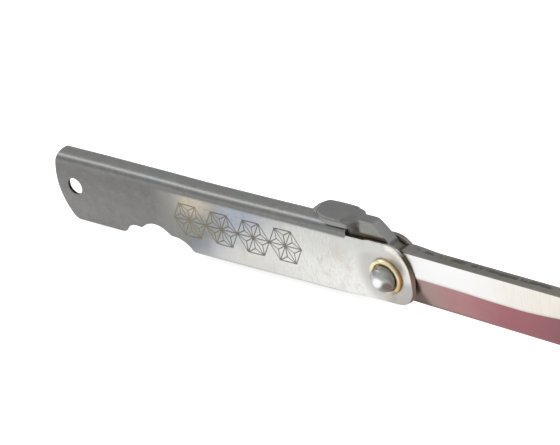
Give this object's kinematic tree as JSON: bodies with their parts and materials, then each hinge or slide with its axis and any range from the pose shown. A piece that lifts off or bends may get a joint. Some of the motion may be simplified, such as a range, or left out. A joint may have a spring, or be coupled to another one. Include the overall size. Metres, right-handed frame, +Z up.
{
  "type": "friction folding knife",
  "caption": "Friction folding knife with a folded sheet-steel handle, riveted pivot with brass washers, laminated blade and a thumb lever that rests on the spine.",
  "frame": {"origin": "middle of the open knife's footprint, at its lowest point, which is the level of the blade's point", "axes": "+X along the handle from the butt towards the blade's point, +Z up towards the handle's spine, +Y from the near wall with the visible rivet head to the far wall"},
  "size_m": [0.1714, 0.011, 0.0206],
  "materials": {
    "handle_steel": "bare folded sheet steel, satin, with heat colours and fine scratches",
    "blade_steel": "forged laminated steel, ground bright on the flats and bevels, dark scale on the spine and lever",
    "rivet_steel": "hammered steel rivet",
    "washer_brass": "turned brass, worn bright on the rim"
  },
  "bodies": {
    "handle_body": {"handle": "handle_steel", "rivet": "rivet_steel", "washer_near": "washer_brass", "washer_far": "washer_brass"},
    "blade_body": {"blade": "blade_steel"}
  },
  "joints": [
    {"name": "blade_pivot", "type": "hinge", "parent": "handle_body", "child": "blade_body", "pos_m": [0.0053, 0, 0.00888], "axis": [0, 1, 0], "range_deg": [0, 178]}
  ]
}
